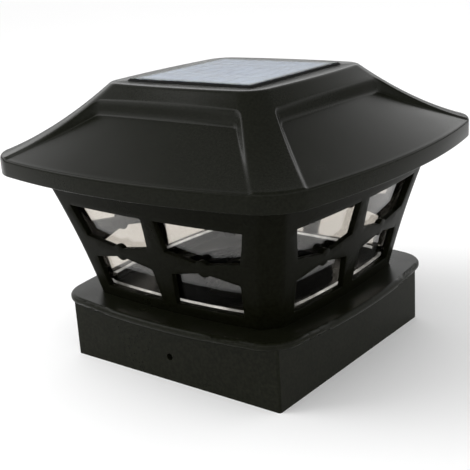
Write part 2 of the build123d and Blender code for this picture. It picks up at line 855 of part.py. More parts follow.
# Slide switch under the board: body with a slot, and the slider that it traps
slider_rest = switch_x - slider_travel / 2
flange_room = slider_flange + 2 * slider_slack
with BuildPart() as switch_body:
    with Locations((switch_x, board_y, soffit_top - switch_height)):
        Box(switch_length, switch_width, switch_height, align=(Align.CENTER, Align.CENTER, Align.MIN))
        Box(
            slider_length + slider_travel + 2 * slider_slack,
            slider_width + 2 * slider_slack,
            slider_floor,
            align=(Align.CENTER, Align.CENTER, Align.MIN),
            mode=Mode.SUBTRACT,
        )
        with Locations((0, 0, slider_floor)):
            Box(
                slider_length + slider_travel + 2 * (slider_flange + slider_slack),
                slider_width + 2 * (slider_flange + slider_slack),
                flange_room,
                align=(Align.CENTER, Align.CENTER, Align.MIN),
                mode=Mode.SUBTRACT,
            )
switch_body.part.label = "switch_body"
export_step(switch_body.part, "parts/switch_body.step")
with BuildPart() as switch_slider:
    with Locations((slider_rest, board_y, soffit_top - switch_height + slider_floor + slider_slack)):
        Box(
            slider_length,
            slider_width,
            slider_proud + slider_floor + slider_slack,
            align=(Align.CENTER, Align.CENTER, Align.MAX),
        )
        Box(
            slider_length + 2 * slider_flange,
            slider_width + 2 * slider_flange,
            slider_flange,
            align=(Align.CENTER, Align.CENTER, Align.MIN),
        )
switch_slider.part.label = "switch_slider"
export_step(switch_slider.part, "parts/switch_slider.step")

# Housing over the board and the battery, with ears for its screws
with BuildPart() as electronics_housing:
    with BuildSketch(Plane.XY.offset(soffit_top)):
        with Locations((0, housing_y)):
            RectangleRounded(2 * housing_half_x, housing_back - housing_front, housing_round)
    extrude(amount=housing_top - soffit_top)
    fillet(electronics_housing.edges().group_by(Axis.Z)[-1], housing_round)
    with BuildSketch(Plane.XY.offset(soffit_top)):
        with Locations((0, housing_y)):
            with GridLocations(2 * housing_half_x, housing_ear_spacing, 2, 2):
                RectangleRounded(2 * housing_ear, housing_ear, housing_ear_corner)
    extrude(amount=housing_ear_thickness)
    with BuildSketch(Plane.XY.offset(soffit_top)):
        with Locations((0, housing_y)):
            Rectangle(2 * (housing_half_x - housing_wall), housing_back - housing_front - 2 * housing_wall)
    extrude(amount=housing_top - housing_wall - soffit_top, mode=Mode.SUBTRACT)
    with BuildSketch(Plane.XY.offset(soffit_top)):
        with Locations((0, housing_y)):
            with GridLocations(2 * housing_screw_x, housing_ear_spacing, 2, 2):
                Circle(screw_shank)
    extrude(amount=housing_ear_thickness, mode=Mode.SUBTRACT)
    with Locations((0, lead_y, housing_top)):
        Cylinder(
            seal_radius + wire_slack,
            housing_wall,
            align=(Align.CENTER, Align.CENTER, Align.MAX),
            mode=Mode.SUBTRACT,
        )
electronics_housing.part.label = "electronics_housing"
export_step(electronics_housing.part, "parts/electronics_housing.step")

# Screws through ceiling and soffit into the housing's ears
with BuildPart() as housing_screws:
    housing_screw = pan_screw(ceiling_thickness + soffit_thickness + housing_screw_bite)
    with Locations((0, housing_y, ceiling_bottom)):
        with GridLocations(2 * housing_screw_x, housing_ear_spacing, 2, 2):
            add(housing_screw)
housing_screws.part.label = "housing_screws"
export_step(housing_screws.part, "parts/housing_screws.step")

# Screws through the soffit into the roof's bosses
with BuildPart() as soffit_screws:
    soffit_screw = pan_screw(soffit_thickness + soffit_screw_bite)
    with Locations((0, 0, soffit_z)):
        with GridLocations(2 * soffit_boss, 2 * soffit_boss, 2, 2):
            add(soffit_screw)
soffit_screws.part.label = "soffit_screws"
export_step(soffit_screws.part, "parts/soffit_screws.step")

# Leads from the panel's board down to the circuit board
with BuildPart() as panel_leads:
    for side in (-1, 1):
        lead_x = side * wire_pitch / 2
        with BuildLine() as route:
            FilletPolyline(
                (lead_x, lead_y, panel_board_z),
                (lead_x, lead_y, housing_top - housing_wall - wire_straight),
                (lead_x, lead_y + wire_jog, board_top + wire_straight),
                (lead_x, lead_y + wire_jog, board_top),
                radius=wire_bend,
            )
        with BuildSketch(Plane(route.line @ 0, z_dir=route.line % 0)):
            Circle(wire_radius)
        sweep(path=route.line)
panel_leads.part.label = "panel_leads"
export_step(panel_leads.part, "parts/panel_leads.step")

# Seal in the housing's top, around the leads
with BuildPart() as wire_seal:
    with Locations((0, lead_y, housing_top)):
        Cylinder(seal_radius + seal_lip, seal_flange, align=(Align.CENTER, Align.CENTER, Align.MIN))
        Cylinder(seal_radius, housing_wall, align=(Align.CENTER, Align.CENTER, Align.MAX))
        with GridLocations(wire_pitch, 0, 2, 1):
            Cylinder(wire_radius + wire_slack, 2 * (seal_flange + housing_wall), mode=Mode.SUBTRACT)
wire_seal.part.label = "wire_seal"
export_step(wire_seal.part, "parts/wire_seal.step")
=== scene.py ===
from math import asin, cos, pi, radians, sin, sqrt

import bmesh
import bpy
import numpy as np
from mathutils import Matrix, Vector
from mathutils.geometry import delaunay_2d_cdt


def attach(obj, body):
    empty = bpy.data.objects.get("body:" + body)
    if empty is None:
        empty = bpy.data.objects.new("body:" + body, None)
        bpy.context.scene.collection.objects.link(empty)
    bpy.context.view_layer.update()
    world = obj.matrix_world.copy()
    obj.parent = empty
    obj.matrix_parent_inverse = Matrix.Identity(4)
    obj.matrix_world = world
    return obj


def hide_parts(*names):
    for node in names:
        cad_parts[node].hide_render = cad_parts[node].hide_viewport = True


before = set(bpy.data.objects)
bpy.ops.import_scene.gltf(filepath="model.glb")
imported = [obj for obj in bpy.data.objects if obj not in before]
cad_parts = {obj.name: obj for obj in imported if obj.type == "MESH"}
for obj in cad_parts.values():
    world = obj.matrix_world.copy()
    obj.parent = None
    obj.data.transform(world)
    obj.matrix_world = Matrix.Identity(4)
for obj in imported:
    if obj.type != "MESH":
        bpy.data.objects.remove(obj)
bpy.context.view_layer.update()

# Lengths below are millimetres in the frame's axes: +Z up, the front is -Y
MM = 0.001
# Points nearer than this, in metres, are welded
WELD = 2e-6

# Levels of the pieces drawn here, and half of the panel's seat
DECK_Z = 40.7
EAVE_Z = 118.5
SOFFIT_TOP_Z = 121.5
PANEL_PAD_Z = 160.8
PANEL_SEAT_Z = 163.3
CELL_TOP_Z = 165.3
CROWN_Z = 165.5
PANEL_SEAT_HALF = 43.8


# Mesh building

def grid(store, rows, loop=False):
    """Adds a grid of points (rows, columns, 3) to a store; a loop joins its last column to its first."""
    count, width = rows.shape[:2]
    start = len(store["points"])
    store["points"].extend(rows.reshape(-1, 3).tolist())
    for i in range(count - 1):
        for j in range(width if loop else width - 1):
            k = (j + 1) % width
            a, b = start + i * width, start + (i + 1) * width
            store["faces"].append((a + j, a + k, b + k, b + j))


def cap(store, ring):
    """Adds one flat face that closes a ring of points."""
    start = len(store["points"])
    store["points"].extend(ring.tolist())
    store["faces"].append(tuple(range(start, start + len(ring))))


def turned(points, quarter):
    """Points turned about the vertical axis by a number of right angles."""
    x, y, z = points[..., 0], points[..., 1], points[..., 2]
    for _ in range(quarter):
        x, y = -y, x
    return np.stack([x, y, z], axis=-1)


def mesh_piece(name, store, sharp=40):
    """An object from a store, welded, faces outward, smooth except across edges sharper than an angle."""
    mesh = bpy.data.meshes.new(name)
    mesh.from_pydata((np.array(store["points"]) * MM).tolist(), [], store["faces"])
    work = bmesh.new()
    work.from_mesh(mesh)
    bmesh.ops.remove_doubles(work, verts=work.verts, dist=WELD)
    bmesh.ops.recalc_face_normals(work, faces=work.faces)
    work.to_mesh(mesh)
    work.free()
    mesh.shade_smooth()
    mesh.set_sharp_from_angle(angle=radians(sharp))
    made = bpy.data.objects.new(name, mesh)
    bpy.context.scene.collection.objects.link(made)
    return made


# Outlines with bowed sides and rounded corners, as the mould has them in plan

def arcs(half, bow, leg):
    """Side radius, corner radius, corner centre and the angle at which side and corner meet."""
    far = half - bow - leg
    side = (far**2 + bow**2) / (2 * bow)
    turn = np.arcsin(far / side)
    corner = leg / (np.cos(turn) - np.sin(turn))
    return side, corner, far - corner * np.sin(turn), turn


def beyond(u, v, half, bow, leg):
    """How far points lie outside a bowed square."""
    side, corner, centre, turn = arcs(half, bow, leg)
    low, high = np.minimum(abs(u), abs(v)), np.maximum(abs(u), abs(v))
    along = np.hypot(low, high - half + side) - side
    around = np.hypot(low - centre, high - centre) - corner
    return np.where(np.arctan2(low, high - half + side) <= turn, along, around)


def outline_points(share, half, bow, leg):
    """Points and outward normals of a bowed square's front side, share -1 to 1 between its diagonals."""
    side, corner, centre, turn = arcs(half, bow, leg)
    straight, bend = side * turn, corner * (pi / 4 - turn)
    run = np.abs(share) * (straight + bend)
    on_side = run <= straight
    angle = np.where(on_side, run / side, turn + (run - straight) / corner)
    u = np.where(on_side, side * np.sin(angle), centre + corner * np.sin(angle))
    v = np.where(on_side, half - side + side * np.cos(angle), centre + corner * np.cos(angle))
    sign = np.sign(share)
    return np.stack([sign * u, v], axis=-1), np.stack([sign * np.sin(angle), np.cos(angle)], axis=-1)


# The roof: its plan at crown and eave (half-width, bow and corner), its heights and its edges
CROWN_PLAN = (57.5, 2.1, 12.1)
EAVE_PLAN = (114.95, 8.6, 21.8)
FASCIA = 9.6
ROOF_SAG = 3.55
RECESS_AT_CROWN = 9.9
RECESS_AT_EAVE = 1.1
ROOF_WALL = 2.5
EAVE_ROUND = 1.2
FASCIA_FOOT_ROUND = 0.6
HIP_INSET = 0.4
# Ends of the searches below: shares a little past crown and eave, and a length past every edge
SHARE_LIMITS = (-0.15, 1.1)
FAR_OUT = 220.0


def roof_outline(share, inset=0.0):
    """The roof's plan from the crown's edge (0) to the eave (1)."""
    half, bow, leg = (first + (last - first) * share for first, last in zip(CROWN_PLAN, EAVE_PLAN))
    return half - inset, bow, leg


def roof_share(u, v, inset=0.0):
    """Which of the roof's outlines runs through each point."""
    low, high = (np.full(np.shape(u), share) for share in SHARE_LIMITS)
    for _ in range(36):
        middle = (low + high) / 2
        outside = beyond(u, v, *roof_outline(middle, inset)) > 0
        low, high = np.where(outside, middle, low), np.where(outside, high, middle)
    return middle


def hip_height(share):
    """Height of the hips and of the band round the crown."""
    drop = CROWN_Z - EAVE_Z - FASCIA - RECESS_AT_EAVE
    return CROWN_Z - drop * share - 4 * ROOF_SAG * share * (1 - share)


def slope_height(share):
    """Height of the recessed slopes."""
    recess = RECESS_AT_EAVE + (RECESS_AT_CROWN - RECESS_AT_EAVE) * (1 - share) ** 2
    return hip_height(share) - recess


def reach(start, step, outline):
    """Where lines from start points along step directions cross an outline."""
    low, high = np.zeros(len(start)), np.full(len(start), FAR_OUT)
    for _ in range(40):
        middle = (low + high) / 2
        at = start + step * middle[:, None]
        outside = beyond(at[:, 0], at[:, 1], *outline) > 0
        low, high = np.where(outside, low, middle), np.where(outside, middle, high)
    return start + step * middle[:, None]


def run_share(points):
    """Share of the way along a line of points, 0 to 1."""
    steps = np.linalg.norm(np.diff(points, axis=0), axis=1)
    return np.concatenate([[0.0], np.cumsum(steps)]) / steps.sum()


def patch(top, bottom, left, right):
    """A grid of plan points that fills four edges."""
    across, down = run_share(top), run_share(left)
    s, t = across[None, :, None], down[:, None, None]
    sides = (1 - s) * left[:, None] + s * right[:, None] + (1 - t) * top[None] + t * bottom[None]
    corners = (
        (1 - s) * (1 - t) * top[0] + s * (1 - t) * top[-1]
        + (1 - s) * t * bottom[0] + s * t * bottom[-1]
    )
    return sides - corners


def eave_between(first, last, shares):
    """Points along the eave's inner edge from one point to another, spaced by shares of the way."""
    outline = roof_outline(1.0, EAVE_ROUND)
    chord = first + (last - first) * shares[:, None]
    out = chord / np.linalg.norm(chord, axis=1)[:, None]
    return reach(np.zeros_like(chord), out, outline)


def lifted(plan, height):
    """Plan points (u, v) as points of the front side at given heights."""
    return np.stack([plan[..., 0], -plan[..., 1], height], axis=-1)


# Roof: slopes sunk between four hips, a banded crown, a fascia and the hollow underside
# The recess's wall leans over a run to each side of its rim; the strip is the rows' offsets from the rim
RECESS_CORNER = 6.0
WALL_RUN = 1.0
EDGE_SOFT = 0.75
STRIP = (-1.9, -1.6, -1.3, -1.0, -0.65, -0.3, 0.3, 0.65, 1.0, 1.3, 1.6, 1.9)
COLLAR = (66.5, 1.9, 12.1)
HIP_START = 5.6
HIP_SPREAD = 0.055
# Points along the rim's top, round its corner, down its flank and across a hip
COLLAR_POINTS = 15
CORNER_POINTS = 13
CORNER_MIDDLE = 5
FLANK_POINTS = 27
FLANK_CROWDING = 1.1
HIP_COLUMNS = 13
# The crown's edge: the share of its side before the hips' columns, its softness and the flat inside it
CROWN_SIDE = 0.84
CROWN_SOFT = 1.3
CROWN_FLAT = 2.2
# Soft edge of the panel's seat: steps in and down
SEAT_EDGE = ((0.4, 0.0), (0.12, 0.12), (0.0, 0.4))


def ramp(run):
    """A ramp that starts softly: 0 before, the run itself after."""
    soft = (run + EDGE_SOFT) ** 2 / (4 * EDGE_SOFT)
    return np.where(run > EDGE_SOFT, run, np.where(run < -EDGE_SOFT, 0.0, soft))


def recess_edge():
    """The right half of a recess's rim, from its middle round the corner to the hip.

    Gives its points, their normals into the recess, the hip's direction and the corner's middle point.
    """
    side = arcs(*COLLAR)[0]
    hub = np.array([0.0, COLLAR[0] - side])
    along = np.array([1 - HIP_SPREAD, 1 + HIP_SPREAD]) / sqrt(2)
    along /= np.linalg.norm(along)
    into = np.array([-along[1], along[0]])
    foot = np.array([-HIP_START, HIP_START]) / sqrt(2)
    low, high = 0.0, FAR_OUT
    for _ in range(50):
        middle = (low + high) / 2
        centre = foot + along * middle + into * RECESS_CORNER
        if np.linalg.norm(centre - hub) > side + RECESS_CORNER:
            high = middle
        else:
            low = middle
    out = (centre - hub) / np.linalg.norm(centre - hub)
    turn = np.arctan2(out[0], out[1])
    angles = np.linspace(0, turn, COLLAR_POINTS)
    collar_normals = np.stack([np.sin(angles), np.cos(angles)], axis=-1)
    collar = hub + side * collar_normals
    start, end = np.arctan2(out[1], out[0]), np.arctan2(into[1], into[0])
    bend = np.linspace(start, end, CORNER_POINTS)
    bend_normals = np.stack([np.cos(bend), np.sin(bend)], axis=-1)
    corner = centre - RECESS_CORNER * bend_normals
    points = np.concatenate([collar, corner[1:]])
    normals = np.concatenate([collar_normals, bend_normals[1:]])
    return points, normals, along, len(collar) + CORNER_MIDDLE


def rim_line(offset):
    """The rim moved off the recess by an offset: its top, and its right side down to the eave."""
    points, normals, along, middle = recess_edge()
    line = points - offset * normals
    end = reach(line[-1:], along[None], roof_outline(1.0, EAVE_ROUND))[0]
    flank = line[-1] + (end - line[-1]) * np.linspace(0, 1, FLANK_POINTS)[1:, None] ** FLANK_CROWDING
    line = np.concatenate([line, flank])
    half = line[: middle + 1]
    top = np.concatenate([half[::-1] * (-1, 1), half[1:]])
    return top, line[middle:]


def roof_mesh():
    """The roof's outside and inside as one closed mesh."""
    store = {"points": [], "faces": []}
    flip = np.array((-1, 1))
    lines = [rim_line(offset) for offset in STRIP]

    # Sunk slope
    top, right = lines[0]
    bottom = eave_between(right[-1] * flip, right[-1], run_share(top))
    slope = patch(top, bottom, right * flip, right)
    height = slope_height(roof_share(slope[..., 0], slope[..., 1]))
    quarter = [lifted(slope, height)]

    # Wall of the recess, rounded where it meets slope and crown
    rise = [(ramp(d + WALL_RUN) - ramp(d - WALL_RUN)) / (2 * WALL_RUN) for d in STRIP]
    for part in (0, 1):
        wall = np.stack([line[part] for line in lines])
        low = slope_height(roof_share(wall[..., 0], wall[..., 1]))
        high = hip_height(roof_share(wall[..., 0], wall[..., 1], HIP_INSET))
        height = low + (high - low) * np.array(rise)[:, None]
        quarter.append(lifted(wall, height))
        if part:
            quarter.append(lifted(wall * flip, height))

    # Hip, from the crown's corner down to the eave
    top, right = lines[-1]
    across = np.linspace(0, 1, HIP_COLUMNS)
    far = right[:, ::-1]
    hip_top = right[0] + (far[0] - right[0]) * across[:, None]
    hip_bottom = eave_between(right[-1], far[-1], across)
    hip = patch(hip_top, hip_bottom, right, far)
    quarter.append(lifted(hip, hip_height(roof_share(hip[..., 0], hip[..., 1], HIP_INSET))))

    # Band from the crown's edge down to the rim, and its corner
    crown = roof_outline(0.0, HIP_INSET)
    side_line, side_out = outline_points(CROWN_SIDE * (2 * run_share(top) - 1), *crown)
    turn_line, turn_out = outline_points(np.linspace(CROWN_SIDE, 1, HIP_COLUMNS // 2 + 1), *crown)
    turn_line = np.concatenate([turn_line, turn_line[-2::-1, ::-1]])
    turn_out = np.concatenate([turn_out, turn_out[-2::-1, ::-1]])
    for line, out, foot in ((side_line, side_out, top), (turn_line, turn_out, hip_top)):
        start = line + CROWN_SOFT * out
        start_height = hip_height(roof_share(start[:, 0], start[:, 1], HIP_INSET))
        fall = (CROWN_Z - start_height) / CROWN_SOFT
        rows = [lifted(line - CROWN_FLAT * out, np.full(len(line), CROWN_Z))]
        for e in np.linspace(-CROWN_SOFT, CROWN_SOFT, 7):
            rows.append(lifted(line + e * out, CROWN_Z - fall * (e + CROWN_SOFT) ** 2 / (4 * CROWN_SOFT)))
        for share in np.linspace(0, 1, 8)[1:]:
            plan = start + (foot - start) * share
            rows.append(lifted(plan, hip_height(roof_share(plan[:, 0], plan[:, 1], HIP_INSET))))
        quarter.append(np.stack(rows))
    for side in range(4):
        for rows in quarter:
            grid(store, turned(rows, side))

    # One ring of columns round the eave and one round the crown
    slope_rows, _, wall_rows, mirror_rows, hip_rows, band_rows, turn_rows = quarter
    eave_runs = (mirror_rows[::-1, -1], slope_rows[-1], wall_rows[:, -1], hip_rows[-1])
    eave = np.concatenate([run[:-1] for run in eave_runs])
    eave = np.concatenate([turned(eave, side) for side in range(4)])
    plateau = np.concatenate([band_rows[0][:-1], turn_rows[0][:-1]])
    plateau = np.concatenate([turned(plateau, side) for side in range(4)])

    # Rounded eave, fascia, its lower edge and the hollow inside
    out = eave[:, :2] / np.linalg.norm(eave[:, :2], axis=1)[:, None]

    def ring(outline, height):
        """The eave's columns moved out or in to an outline."""
        plan = reach(np.zeros_like(out), out, outline)
        return np.concatenate([plan, np.broadcast_to(height, len(out))[:, None]], axis=1)

    rows = [eave]
    brow = EAVE_Z + FASCIA - EAVE_ROUND
    for angle in np.linspace(0, pi / 2, 6)[1:]:
        inset = EAVE_ROUND * (1 - sin(angle))
        rows.append(ring(roof_outline(1.0, inset), brow + (eave[:, 2] - brow) * cos(angle)))
    for angle in np.linspace(0, pi / 2, 5):
        inset, rise = FASCIA_FOOT_ROUND * (1 - cos(angle)), FASCIA_FOOT_ROUND * (1 - sin(angle))
        rows.append(ring(roof_outline(1.0, inset), EAVE_Z + rise))
    rows.append(ring(roof_outline(1.0, ROOF_WALL), EAVE_Z))
    for share in np.linspace(1.0, 0.0, 8):
        rows.append(ring(roof_outline(share, ROOF_WALL), slope_height(share) - ROOF_WALL))
    rows.append(ring(roof_outline(0.0, ROOF_WALL), PANEL_PAD_Z))
    grid(store, np.stack(rows), loop=True)
    cap(store, rows[-1])

    # Flat crown and the seat of the panel
    corner = np.max(np.abs(plateau[:, :2]), axis=1)[:, None]
    square = plateau[:, :2] / corner
    rows = [plateau]
    for inset, drop in SEAT_EDGE + ((0.0, CROWN_Z - PANEL_SEAT_Z),):
        level = np.full((len(square), 1), CROWN_Z - drop)
        rows.append(np.concatenate([square * (PANEL_SEAT_HALF + inset), level], axis=1))
    grid(store, np.stack(rows), loop=True)
    cap(store, rows[-1])
    return store


# Cage: four leaning faces with windows between chamfered corner posts
CAGE_HEIGHT = 78.1
CAGE_WALL = 3.5
CAGE_FOOT_HALF = 71.0
CAGE_LEAN = 0.203
CAGE_FLARE = 0.000828
CAGE_BOW_SHARE = 0.046
CAGE_CORNER = 12.5
WINDOW_EDGE = 0.5
POST_SOFT = 2.6
POST_CUT = 1.4
# Spacing of points along a window's edge and over a face, how far apart these keep, and points per border
EDGE_STEP = 3.0
FACE_STEP = 3.6
EDGE_CLEAR = 0.55 * FACE_STEP
POST_POINTS = 29
FOOT_POINTS = 45
# Bar between upper and lower windows, its bead, and the corners (across, height) of the right-hand windows
BAR = 32.75
BAR_NECK = 3.25
BEAD_AT = 30.2
BEAD_HALF = 3.6
BEAD_RISE = 1.8
BEAD_ENDS = (BEAD_AT - BEAD_HALF, BEAD_AT + BEAD_HALF)
WINDOW_TOP = 58.2
WINDOW_FOOT = 6.7
UPPER_WINDOW = (
    (BEAD_ENDS[0], BAR + BAR_NECK),
    (6.4, BAR + 6.95),
    (4.6, WINDOW_TOP),
    (62.3, WINDOW_TOP),
    (55.8, BAR + 6.75),
    (BEAD_ENDS[1], BAR + BAR_NECK),
)
LOWER_WINDOW = (
    (BEAD_ENDS[0], BAR - BAR_NECK),
    (7.4, BAR - 6.85),
    (5.2, WINDOW_FOOT),
    (50.4, WINDOW_FOOT),
    (52.8, BAR - 6.85),
    (BEAD_ENDS[1], BAR - BAR_NECK),
)


def cage_outline(height):
    """The cage's plan at a height above the deck: half-width, bow and corner."""
    half = CAGE_FOOT_HALF + CAGE_LEAN * height + CAGE_FLARE * height**2
    return half, CAGE_BOW_SHARE * half, CAGE_CORNER


def cage_front(x, height):
    """How far out the cage's front stands."""
    half, bow, leg = cage_outline(height)
    side = arcs(half, bow, leg)[0]
    return half - side + np.sqrt(side**2 - x**2)


def chamfer_edge(height):
    """Where the front meets the flat of the corner post."""
    half, bow, leg = cage_outline(height)
    _, corner, centre, _ = arcs(half, bow, leg)
    across = 2 * centre + sqrt(2) * corner - POST_CUT
    low, high = 0.0, half
    for _ in range(40):
        middle = (low + high) / 2
        if middle + cage_front(middle, height) > across:
            high = middle
        else:
            low = middle
    return np.array([middle, cage_front(middle, height)])


def window_loop(corners, upper):
    """One window's outline in its face, with the bead's arc and points every few millimetres."""
    line = []
    for first, last in zip(corners[:-1], corners[1:]):
        first, last = np.array(first), np.array(last)
        steps = max(1, int(np.linalg.norm(last - first) / EDGE_STEP))
        line += [first + (last - first) * k / steps for k in range(steps)]
    way = 1 if upper else -1
    radius = (BEAD_HALF**2 + BEAD_RISE**2) / (2 * BEAD_RISE)
    sweep = asin(BEAD_HALF / radius)
    hub = corners[0][1] + way * (BEAD_RISE - radius)
    for angle in np.linspace(sweep, -sweep, 11)[:-1]:
        line.append(np.array([BEAD_AT + radius * sin(angle), hub + way * radius * cos(angle)]))
    return np.array(line)


def moved_out(loop, distance):
    """A closed loop moved outwards by a distance."""
    before, after = loop - np.roll(loop, 1, axis=0), np.roll(loop, -1, axis=0) - loop
    before /= np.linalg.norm(before, axis=1)[:, None]
    after /= np.linalg.norm(after, axis=1)[:, None]
    area = np.sum(loop[:, 0] * np.roll(loop[:, 1], -1) - np.roll(loop[:, 0], -1) * loop[:, 1])
    way = 1.0 if area > 0 else -1.0
    side = np.stack([before[:, 1] + after[:, 1], -before[:, 0] - after[:, 0]], axis=-1)
    stretch = 1 + np.sum(before * after, axis=1)
    return loop + way * distance * side / stretch[:, None]


def inside(points, loop):
    """Which points lie inside a closed loop."""
    x, y = points[:, 0][:, None], points[:, 1][:, None]
    ax, ay = loop[:, 0], loop[:, 1]
    bx, by = np.roll(ax, -1), np.roll(ay, -1)
    with np.errstate(divide="ignore", invalid="ignore"):
        cross = ((ay > y) != (by > y)) & (x < (bx - ax) * (y - ay) / (by - ay) + ax)
    return cross.sum(axis=1) % 2 == 1


def face_sheet(border, loops):
    """Triangles that fill a face's border round its windows: points (x, height) and faces."""
    points = [tuple(p) for p in border]
    edges = [(k, (k + 1) % len(border)) for k in range(len(border))]
    for loop in loops:
        start = len(points)
        points += [tuple(p) for p in loop]
        edges += [(start + k, start + (k + 1) % len(loop)) for k in range(len(loop))]
    rim = np.array(points)
    low, high = rim.min(axis=0), rim.max(axis=0)
    xs = np.arange(low[0], high[0], FACE_STEP)
    hs = np.arange(low[1], high[1], FACE_STEP)
    fill = np.array([(x + FACE_STEP / 2 * (k % 2), h) for k, h in enumerate(hs) for x in xs])
    keep = inside(fill, np.array(border))
    for loop in loops:
        keep &= ~inside(fill, loop)
    gaps = np.linalg.norm(fill[:, None] - rim[None], axis=-1).min(axis=1)
    fill = fill[keep & (gaps > EDGE_CLEAR)]
    points += [tuple(p) for p in fill]
    placed, _, faces, *_ = delaunay_2d_cdt([Vector(p) for p in points], edges, [], 1, 1e-6)
    placed = np.array([tuple(p) for p in placed])
    middles = np.array([placed[list(face)].mean(axis=0) for face in faces])
    hole = np.zeros(len(faces), bool)
    for loop in loops:
        hole |= inside(middles, loop)
    return placed, [tuple(face) for face, out in zip(faces, hole) if not out]


def cage_mesh():
    """The cage's walls, window edges and chamfered posts as one closed mesh."""
    store = {"points": [], "faces": []}
    heights = np.linspace(0, CAGE_HEIGHT, POST_POINTS)
    posts = [chamfer_edge(h) for h in heights]
    ends = []
    for h, (edge, _) in zip(heights, posts):
        x = edge - POST_SOFT
        ends.append((x, cage_front(x, h)))
    ends = np.array(ends)
    foot = np.linspace(-1, 1, FOOT_POINTS)
    border = [(s * ends[0, 0], 0.0) for s in foot]
    border += [(x, h) for x, h in zip(ends[1:-1, 0], heights[1:-1])]
    border += [(s * ends[-1, 0], CAGE_HEIGHT) for s in foot[::-1]]
    border += [(-x, h) for x, h in zip(ends[-2:0:-1, 0], heights[-2:0:-1])]
    loops = []
    for corners, upper in ((UPPER_WINDOW, True), (LOWER_WINDOW, False)):
        loop = window_loop(corners, upper)
        loops += [loop, loop * (-1, 1)]

    def on_face(flat, inset):
        """Points (x, height) laid on the front face, moved in by an inset."""
        x, h = flat[:, 0], flat[:, 1]
        return np.stack([x, inset - cage_front(x, h), DECK_Z + h], axis=-1)

    outer, outer_faces = face_sheet(border, [moved_out(loop, WINDOW_EDGE) for loop in loops])
    inner, inner_faces = face_sheet(border, loops)
    parts = []
    for flat, faces, inset in ((outer, outer_faces, 0.0), (inner, inner_faces, CAGE_WALL)):
        parts.append((on_face(flat, inset), faces))
    strips = []
    bevel = 0.3 * WINDOW_EDGE
    for loop in loops:
        steps = ((WINDOW_EDGE, 0.0), (bevel, bevel), (0.0, WINDOW_EDGE), (0.0, CAGE_WALL))
        rows = [on_face(moved_out(loop, wide), inset) for wide, inset in steps]
        strips.append((np.stack(rows), True))
    for h in (0.0, CAGE_HEIGHT):
        end = ends[0 if h == 0.0 else -1, 0]
        flat = np.array([(s * end, h) for s in foot])
        strips.append((np.stack([on_face(flat, 0.0), on_face(flat, CAGE_WALL)]), False))

    # Corner post: the face bends softly into the flat, and the flat into the next face
    outside, inside_line = [], []
    bend = np.linspace(0, 1, 7)[:, None]
    for h, post, end in zip(heights, posts, ends):
        across = np.array([1.0, -1.0]) / sqrt(2)
        leave = post + across * POST_SOFT
        curve = (1 - bend) ** 2 * end + 2 * bend * (1 - bend) * post + bend**2 * leave
        line = np.concatenate([curve, (leave + leave[::-1])[None] / 2, curve[::-1, ::-1]])
        back = end - (0.0, CAGE_WALL)
        chord = back + (back[::-1] - back) * run_share(line)[:, None]
        outside.append(lifted(line, np.full(len(line), DECK_Z + h)))
        inside_line.append(lifted(chord, np.full(len(line), DECK_Z + h)))
    outside, inside_line = np.stack(outside), np.stack(inside_line)
    strips += [(outside, False), (inside_line, False)]
    for row in (0, -1):
        strips.append((np.stack([outside[row], inside_line[row]]), False))
    for side in range(4):
        for points, faces in parts:
            start = len(store["points"])
            store["points"].extend(turned(points, side).tolist())
            store["faces"].extend(tuple(start + k for k in face) for face in faces)
        for rows, closed in strips:
            grid(store, turned(rows, side), loop=closed)
    return store


# Sealant round the panel: its section (half-width, level), from the panel's side to its foot on the crown
SEALANT_SECTION = (
    (43.05, 164.0),
    (43.05, 166.5),
    (43.5, 166.5),
    (44.1, 166.25),
    (44.6, 165.9),
    (44.9, 165.52),
    (43.7, 165.4),
    (43.7, 164.0),
)
SEALANT_CORNER = 1.4


def sealant_mesh():
    """The sealant, its section carried round the panel's square with rounded corners."""
    store = {"points": [], "faces": []}
    angles = np.linspace(-pi / 4, pi / 4, 9)
    rows = []
    for half, level in SEALANT_SECTION + SEALANT_SECTION[:1]:
        hub = PANEL_SEAT_HALF - SEALANT_CORNER
        radius = half - hub
        x, y = hub + radius * np.cos(angles - pi / 4), -hub + radius * np.sin(angles - pi / 4)
        corner = np.stack([x, y, np.full(len(x), level)], axis=-1)
        rows.append(np.concatenate([turned(corner, side) for side in range(4)]))
    grid(store, np.stack(rows), loop=True)
    return store


# Ledge round the inside of the clear liner, which carries a painted bright line: its section (height above
# the deck, inset from the cage's face)
LEDGE_SECTION = ((6.6, 5.8), (7.5, 5.8), (7.5, 7.2), (6.6, 7.2))


def ledge_mesh():
    """The ledge, level with the foot of the lower windows."""
    store = {"points": [], "faces": []}
    shares = np.linspace(-1, 1, 41)[:-1]
    rows = []
    for height, inset in LEDGE_SECTION + LEDGE_SECTION[:1]:
        half, bow, leg = cage_outline(height)
        line = outline_points(shares, half - inset, bow, leg)[0]
        quarter = lifted(line, np.full(len(line), DECK_Z + height))
        rows.append(np.concatenate([turned(quarter, side) for side in range(4)]))
    grid(store, np.stack(rows), loop=True)
    return store


# Colours and shader nodes
ABS_IOR = 1.52
ACRYLIC_IOR = 1.49
# A noise pattern seldom leaves the first of these ranges; the second is narrower, for a clearer pattern
NOISE_RANGE = (0.3, 0.7)
NOISE_MIDDLE = (0.35, 0.65)


def linear(code):
    """Linear colour of a hex sRGB code."""
    values = [int(code[k:k + 2], 16) / 255 for k in (1, 3, 5)]
    return tuple(v / 12.92 if v <= 0.04045 else ((v + 0.055) / 1.055) ** 2.4 for v in values) + (1.0,)


def node(tree, kind, settings=None, inputs=None):
    """Adds a node with its settings, and sets or links its inputs by name or number."""
    made = tree.nodes.new(kind)
    for name, value in (settings or {}).items():
        setattr(made, name, value)
    for name, value in (inputs or {}).items():
        if isinstance(value, bpy.types.NodeSocket):
            tree.links.new(value, made.inputs[name])
        else:
            made.inputs[name].default_value = value
    return made


